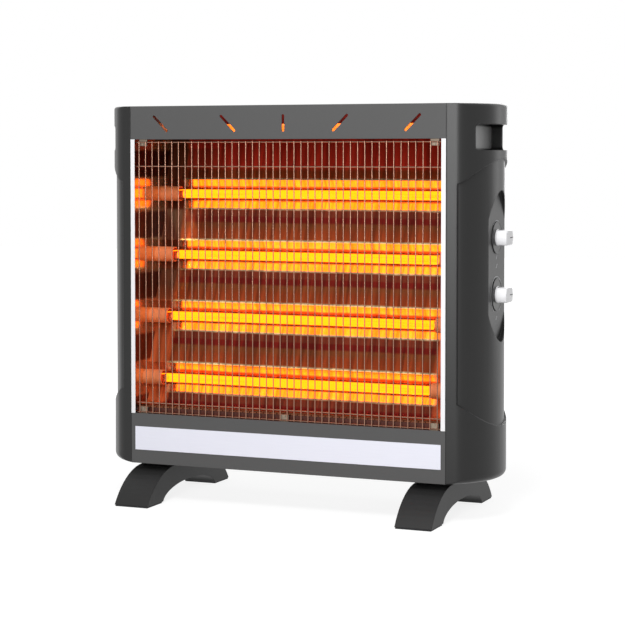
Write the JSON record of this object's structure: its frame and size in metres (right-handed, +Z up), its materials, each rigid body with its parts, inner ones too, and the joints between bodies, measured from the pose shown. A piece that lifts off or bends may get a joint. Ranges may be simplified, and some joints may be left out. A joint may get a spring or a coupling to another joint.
{
  "type": "quartz tube heater",
  "caption": "Standing radiant heater: quartz tubes in a tilted reflector behind a wire guard, moulded side panels with hand grips, two rotary knobs and two bridge feet.",
  "frame": {"origin": "on the floor under the middle of the part's bounding box", "axes": "+X to the viewer's right, +Y from the front to the back, +Z up"},
  "size_m": [0.5806, 0.2594, 0.5506],
  "materials": {
    "casing_paint": "satin",
    "side_plastic": "matte",
    "bright_trim": "satin",
    "guard_chrome": "polished",
    "mirror_sheet": "polished",
    "galvanised_steel": "satin",
    "quartz": "milky",
    "heating_wire": "glowing",
    "ceramic_white": "matte",
    "lead_red": "matte",
    "lead_blue": "matte",
    "lead_green": "matte",
    "switch_plastic": "gloss",
    "knob_grey": "satin",
    "knob_white": "gloss",
    "block_plastic": "matte",
    "terminal_brass": "satin",
    "foot_plastic": "matte",
    "pad_rubber": "matte",
    "gland_plastic": "matte"
  },
  "bodies": {
    "housing": {"front_frame": "casing_paint", "top_cover": "casing_paint", "bottom_tray": "casing_paint", "back_panel": "casing_paint", "end_frame_left": "galvanised_steel", "end_frame_right": "galvanised_steel", "window_trim_left": "bright_trim", "window_trim_right": "bright_trim", "front_strip": "bright_trim", "side_panel_left": "side_plastic", "side_panel_right": "side_plastic", "wire_guard": "guard_chrome", "guard_clips": "galvanised_steel", "guard_screws": "galvanised_steel", "reflector": "mirror_sheet", "reflector_cheek_left": "mirror_sheet", "reflector_cheek_right": "mirror_sheet", "quartz_tube_1": "quartz", "quartz_tube_2": "quartz", "quartz_tube_3": "quartz", "quartz_tube_4": "quartz", "heating_coil_1": "heating_wire", "heating_coil_2": "heating_wire", "heating_coil_3": "heating_wire", "heating_coil_4": "heating_wire", "end_caps_left": "ceramic_white", "end_caps_right": "ceramic_white", "tube_terminals": "terminal_brass", "bus_lead_left": "lead_red", "bus_lead_right": "lead_blue", "rotary_switch_upper": "switch_plastic", "rotary_switch_lower": "switch_plastic", "switch_nuts": "galvanised_steel", "switch_leads": "lead_green", "thermal_cutout": "galvanised_steel", "terminal_block": "block_plastic", "tip_switch_case": "block_plastic", "cable_gland": "gland_plastic", "side_screws": "galvanised_steel", "back_screws": "galvanised_steel", "foot_left": "foot_plastic", "foot_right": "foot_plastic", "foot_pads": "pad_rubber", "foot_screws": "galvanised_steel"},
    "knob_upper": {"knob_skirt_upper": "knob_grey", "knob_grip_upper": "knob_white", "spindle_upper": "galvanised_steel"},
    "knob_lower": {"knob_skirt_lower": "knob_grey", "knob_grip_lower": "knob_white", "spindle_lower": "galvanised_steel"},
    "tip_weight": {"tip_pendulum": "galvanised_steel"}
  },
  "joints": [
    {"name": "knob_upper_turn", "type": "hinge", "parent": "housing", "child": "knob_upper", "pos_m": [0.27175, 0, 0.3736], "axis": [1, 0, 0], "range_deg": [-90, 0]},
    {"name": "knob_lower_turn", "type": "hinge", "parent": "housing", "child": "knob_lower", "pos_m": [0.27175, 0, 0.2976], "axis": [1, 0, 0], "range_deg": [-90, 0]},
    {"name": "tip_swing", "type": "hinge", "parent": "housing", "child": "tip_weight", "pos_m": [0.23675, 0.04, 0.1106], "axis": [1, 0, 0], "range_deg": [-18, 18]}
  ]
}
